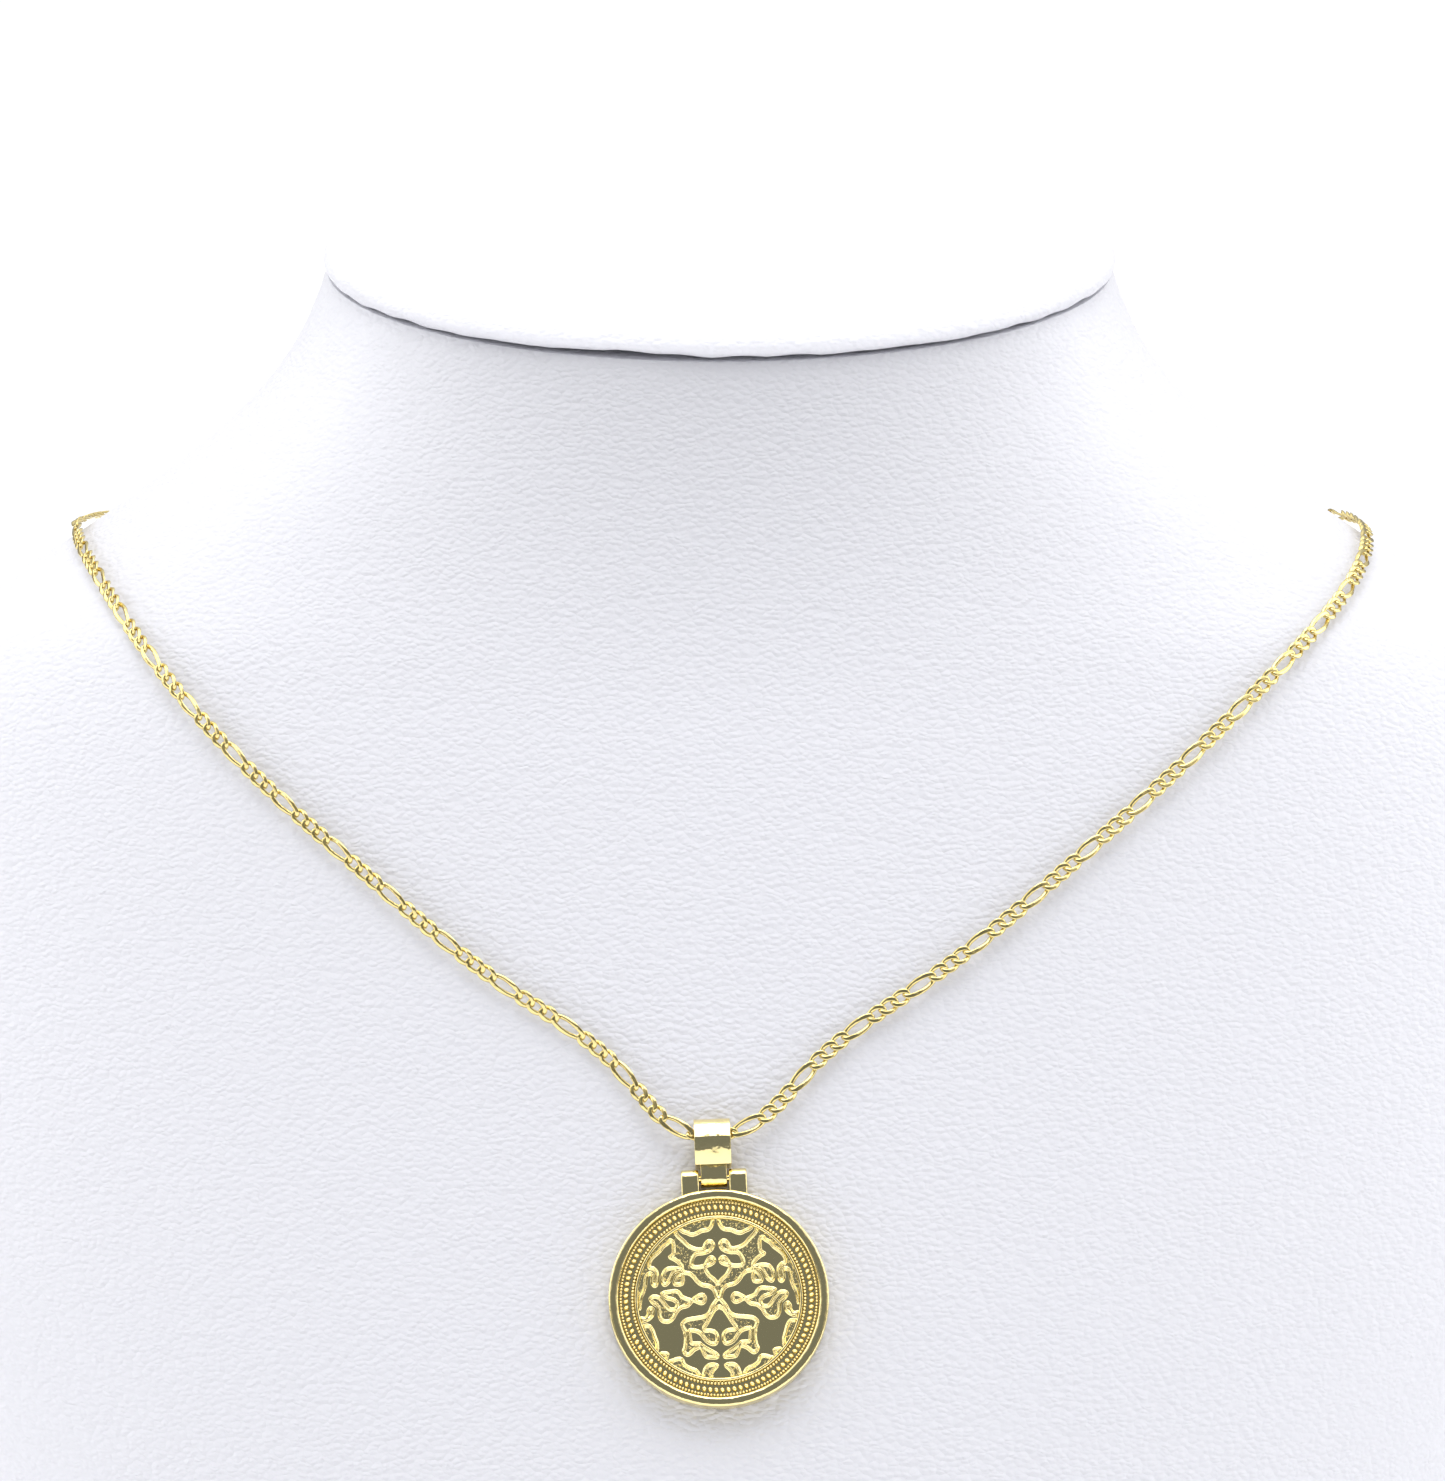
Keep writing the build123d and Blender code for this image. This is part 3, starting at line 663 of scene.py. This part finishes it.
def loosePlaces(source):  # middle, length direction and length of each loose piece of a mesh
    mesh = source.data
    points = np.empty(len(mesh.vertices) * 3, np.float32)
    mesh.vertices.foreach_get("co", points)
    points = points.reshape(-1, 3)
    ends = np.empty(len(mesh.edges) * 2, np.int32)
    mesh.edges.foreach_get("vertices", ends)
    rounded = np.round(points / (0.001 * mm)).astype(np.int64)
    label = np.unique(rounded, axis=0, return_inverse=True)[1].ravel()
    ends = label[ends.reshape(-1, 2)]
    group = np.arange(label.max() + 1)
    changed = True
    while changed:  # each piece takes the lowest number among its points
        low = np.minimum(group[ends[:, 0]], group[ends[:, 1]])
        before = group.copy()
        np.minimum.at(group, ends[:, 0], low)
        np.minimum.at(group, ends[:, 1], low)
        group = group[group]
        changed = (group != before).any()
    pieces = []
    pieceOf = group[label]
    for key in np.unique(pieceOf):
        own = points[pieceOf == key].astype(float)
        centred = own - own.mean(0)
        direction = np.linalg.svd(centred.T @ centred)[0][:, 0]
        along = centred @ direction
        middle = own.mean(0) + direction * (along.max() + along.min()) / 2
        pieces.append((middle, direction, along.max() - along.min()))
    return pieces


def curbLink(length, wire, width):  # mm, along X, flat in XY and twisted about its length
    look = chain
    path = np.array(arc(0, 0, (length - wire) / 2, (width - wire) / 2, 0, -360,
        look["pathSteps"], look["squareness"])[:-1])
    along = np.roll(path, -1, 0) - np.roll(path, 1, 0)
    normal = np.stack((along[:, 1], -along[:, 0]), 1) / np.linalg.norm(along, axis=1)[:, None]
    turn = np.linspace(0, 2 * math.pi, look["sides"], endpoint=False)
    flat = path[:, None] + normal[:, None] * (wire / 2 * np.cos(turn))[None, :, None]
    x, y = flat.reshape(-1, 2).T
    z = np.tile(wire / 2 * np.sin(turn), len(path))
    angle = math.radians(look["twist"]) * np.sin(np.clip(2 * x / length, -1, 1) * math.pi / 2)
    y, z = y * np.cos(angle) - z * np.sin(angle), y * np.sin(angle) + z * np.cos(angle)
    points = np.stack((x, y, look["thickness"] * np.tanh(z / look["thickness"])), 1)
    return points, gridFaces(len(path), look["sides"], closed=True)


def buildChain():
    shapes = {}
    points, faces = [], []
    pieces = loosePlaces(frame["nodes"]["chain"])
    for middle, direction, length in pieces:
        fromBail = math.dist(middle, pivot) / mm
        inBail = fromBail < chain["boreReach"]
        key = (round(length / mm, 1), inBail)
        if key not in shapes:
            shapes[key] = curbLink(length / mm, chain["boreWire" if inBail else "wire"],
                chain["boreWidth" if inBail else "width"])
        shape, shapeFaces = shapes[key]
        outward = np.array((chain["bustShare"] * middle[0], middle[1] - chain["neckAxis"],
            chain["lean"]))
        flat = outward - direction * (outward @ direction)
        flat /= np.linalg.norm(flat)
        if direction[0] < 0:
            direction = -direction
        across = np.cross(flat, direction)
        onLeft = middle[0] < pivot.x
        roll = onLeft * math.radians(chain["leftRoll"]) * ramp(fromBail, *chain["rollStart"])
        across, flat = (across * math.cos(roll) + flat * math.sin(roll),
            flat * math.cos(roll) - across * math.sin(roll))
        faces.append(shapeFaces + sum(len(p) for p in points))
        points.append(middle / mm + shape @ np.stack((direction, across, flat)))
    print("links", len(pieces), "lengths", sorted(shapes))
    made = makeMesh("figaroChain", np.concatenate(points), np.concatenate(faces),
        Matrix.Identity(4), chainShadedGold, "worn_chain")
    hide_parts("chain")


buildChain()
print("chain made")


# The cap's profile runs inward from its edge and up, in mm
cap = {
    "tilt": 15.5,  # degrees it slopes to the front
    "thickness": 2.6,
    "lift": 0.2,
    "under": [(9.0, 0.1), (2.2, 0.02)],
    "roll": 1.25,  # radius of the rolled edge
    "groove": [(2.1, -0.08), (2.7, -0.22), (3.3, -0.24), (4.2, -0.12), (7.0, -0.04), (14.0, 0)],
    "wave": 0.55,  # the covering is pulled round the edge by hand
    "waveRise": 0.4,  # share of the wave that lifts the cover too
    "waves": [(3, 0.6, 0.5), (7, 2, 0.3), (13, 0, 0.2)],  # times round, phase and share
    "pucker": 0.12,  # small folds where it is tucked under
    "turns": 320,
}


def buildCap():
    tilt = math.radians(cap["tilt"])
    upCap = Vector((0, -math.sin(tilt), math.cos(tilt)))
    alongCap = Vector((0, math.cos(tilt), math.sin(tilt)))
    vertices = frame["nodes"]["neck_cap"].data.vertices
    x, y, z = np.array([(v.co.x, v.co.dot(alongCap), v.co.dot(upCap)) for v in vertices]).T / mm
    halfX, halfY = (x.max() - x.min()) / 2, (y.max() - y.min()) / 2
    middle = Vector(((x.max() + x.min()) / 2, 0, 0)) + alongCap * (y.max() + y.min()) / 2
    place = placeAt((middle + upCap * z.min()) * mm, Vector((1, 0, 0)), alongCap, upCap)

    roll, top = cap["roll"], cap["thickness"]
    profile = cap["under"] + [(roll * (1 - math.cos(a)), roll * (1 + math.sin(a)))
        for a in np.linspace(-1.5, 1.25, 12)]
    profile += [(inward, top + up) for inward, up in cap["groove"]] + [(halfY, top)]
    angle = np.linspace(0, 2 * math.pi, cap["turns"], endpoint=False)
    wave = cap["wave"] * sum(share * np.sin(times * angle + phase)
        for times, phase, share in cap["waves"])
    pucker = cap["pucker"] * (np.sin(29 * angle + 1) * np.sin(11 * angle)
        + abs(np.sin(23 * angle + 2)))
    rings = []
    for inward, up in profile:
        loose = wave * ramp(inward, 9, 4) * ramp(inward, -1, 1)
        inset = inward + abs(loose)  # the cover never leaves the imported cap's outline
        tucked = pucker * ramp(up, roll, 0)
        rings.append(np.stack(((halfX - inset) * np.cos(angle),
            np.maximum(halfY - inset, 0) * np.sin(angle),
            up + cap["lift"] + cap["waveRise"] * loose + tucked), 1))
    made = makeMesh("capCover", np.stack(rings, 1).reshape(-1, 3),
        gridFaces(cap["turns"], len(profile)), place, capLeatherette, "worn_chain")
    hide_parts("neck_cap")


buildCap()
dressNode("neck_bust", leatherette)
print("bust dressed")


# A white tent, dark where the picture is taken from
studio = {
    "tent": "FFFFFF",
    "tentLight": 0.3,
    "skyLight": 1.8,  # added from the horizon to straight above
    "frontLoss": 0.8,  # share of the light lost straight in front, where the room is
    "backLoss": 0.5,
    "opening": "E3ECFF",  # the room outside is cooler
    "openingLight": 0.265,
    "openingLift": 22,  # degrees the tent's opening is raised above level
    "openingHalf": (22, 34),  # degrees across and up
    "openingEdge": (1.2, 0.8),  # shares of that where it starts and where it is darkest
    "floor": "FFFFFF",
    "floorRoughness": 0.8,
    "floorSize": 40,
    "lightTarget": (0, -0.03, 0.08),
}
softboxes = {  # place and size in m, power in W
    "overheadSoftbox": {"place": (0.05, -0.3, 1.1), "size": 0.7, "power": 4.0},
    "sideSoftboxLeft": {"place": (-0.9, 0.05, 0.5), "size": 0.8, "power": 3.0},
    "sideSoftboxRight": {"place": (0.9, 0.05, 0.5), "size": 0.8, "power": 3.0},
}


def buildTent():
    world = bpy.data.worlds.new("lightTent")
    bpy.context.scene.world = world
    world.use_nodes = True
    tree = world.node_tree
    tree.nodes.clear()
    place = addNode(tree, "ShaderNodeTexCoord")
    parts = addNode(tree, "ShaderNodeSeparateXYZ", {"Vector": place.outputs["Generated"]})
    sky = addNode(tree, "ShaderNodeMapRange", {"Value": parts.outputs["Z"],
        "To Min": studio["tentLight"], "To Max": studio["tentLight"] + studio["skyLight"]})
    keptFront = addNode(tree, "ShaderNodeMapRange", {"Value": parts.outputs["Y"],
        "From Min": -1.0, "From Max": 0.0, "To Min": 1 - studio["frontLoss"], "To Max": 1.0})
    keptBack = addNode(tree, "ShaderNodeMapRange", {"Value": parts.outputs["Y"],
        "From Min": 1.0, "From Max": 0.0, "To Min": 1 - studio["backLoss"], "To Max": 1.0})
    kept = addNode(tree, "ShaderNodeMath", {0: keptFront.outputs["Result"],
        1: keptBack.outputs["Result"]}, operation="MULTIPLY")
    soft = addNode(tree, "ShaderNodeMath", {0: sky.outputs["Result"],
        1: kept.outputs["Value"]}, operation="MULTIPLY")

    turned = addNode(tree, "ShaderNodeMapping", {"Vector": place.outputs["Generated"],
        "Rotation": (math.radians(studio["openingLift"]), 0, 0)})
    across, up = [1 / math.sin(math.radians(half)) for half in studio["openingHalf"]]
    spread = addNode(tree, "ShaderNodeVectorMath", {0: turned.outputs["Vector"],
        1: (across, 0, up)}, operation="MULTIPLY")
    reach = addNode(tree, "ShaderNodeVectorMath", {0: spread.outputs["Vector"]},
        operation="LENGTH")
    dark = addNode(tree, "ShaderNodeMapRange", {"Value": reach.outputs["Value"],
        "From Min": studio["openingEdge"][0], "From Max": studio["openingEdge"][1]},
        interpolation_type="SMOOTHSTEP")
    front = addNode(tree, "ShaderNodeMath", {0: parts.outputs["Y"], 1: 0.0},
        operation="LESS_THAN")
    share = addNode(tree, "ShaderNodeMath", {0: dark.outputs["Result"],
        1: front.outputs["Value"]}, operation="MULTIPLY")
    light = addNode(tree, "ShaderNodeMix", {"Factor": share.outputs["Value"],
        "A": soft.outputs["Value"], "B": studio["openingLight"]})
    colour = addNode(tree, "ShaderNodeMix", {"Factor": share.outputs["Value"],
        6: hexLinear(studio["tent"]), 7: hexLinear(studio["opening"])}, data_type="RGBA")
    tent = addNode(tree, "ShaderNodeBackground", {"Color": colour.outputs[2],
        "Strength": light.outputs["Result"]})
    addNode(tree, "ShaderNodeOutputWorld", {"Surface": tent.outputs["Background"]})


def buildFloor():
    material, tree = newMaterial("paleFloor")
    paper = addNode(tree, "ShaderNodeBsdfPrincipled", {"Base Color": hexLinear(studio["floor"]),
        "Roughness": studio["floorRoughness"]})
    addNode(tree, "ShaderNodeOutputMaterial", {"Surface": paper.outputs["BSDF"]})
    bpy.ops.mesh.primitive_plane_add(size=studio["floorSize"], location=(0, 0, 0))
    floor = bpy.context.object
    floor.name = "floor"
    floor.data.materials.append(material)


def buildSoftboxes():
    for name, box in softboxes.items():
        lamp = bpy.data.lights.new(name, "AREA")
        lamp.size = box["size"]
        lamp.energy = box["power"]
        made = bpy.data.objects.new(name, lamp)
        bpy.context.scene.collection.objects.link(made)
        made.location = box["place"]
        towards = Vector(studio["lightTarget"]) - made.location
        made.rotation_euler = towards.to_track_quat("-Z", "Y").to_euler()


view = {
    "place": (0.0004, -0.9363, 0.2061),
    "pitch": 84,  # degrees up from straight down
    "sensor": 36,  # mm, along the picture's longer side
    "focalPixels": 7830.7,  # the photo's focal length in its own pixels
    "picturePixels": 1481,
    "clip": (0.05, 60),
}


def buildCamera():
    lens = bpy.data.cameras.new("camera")
    lens.sensor_width = view["sensor"]
    lens.lens = view["sensor"] * view["focalPixels"] / view["picturePixels"]
    lens.clip_start, lens.clip_end = view["clip"]
    made = bpy.data.objects.new("camera", lens)
    bpy.context.scene.collection.objects.link(made)
    made.location = view["place"]
    made.rotation_euler = (math.radians(view["pitch"]), 0, 0)
    bpy.context.scene.camera = made


buildTent()
buildFloor()
buildSoftboxes()
buildCamera()
bpy.context.scene.view_settings.view_transform = "Standard"
print("studio made")

bpy.context.view_layer.update()
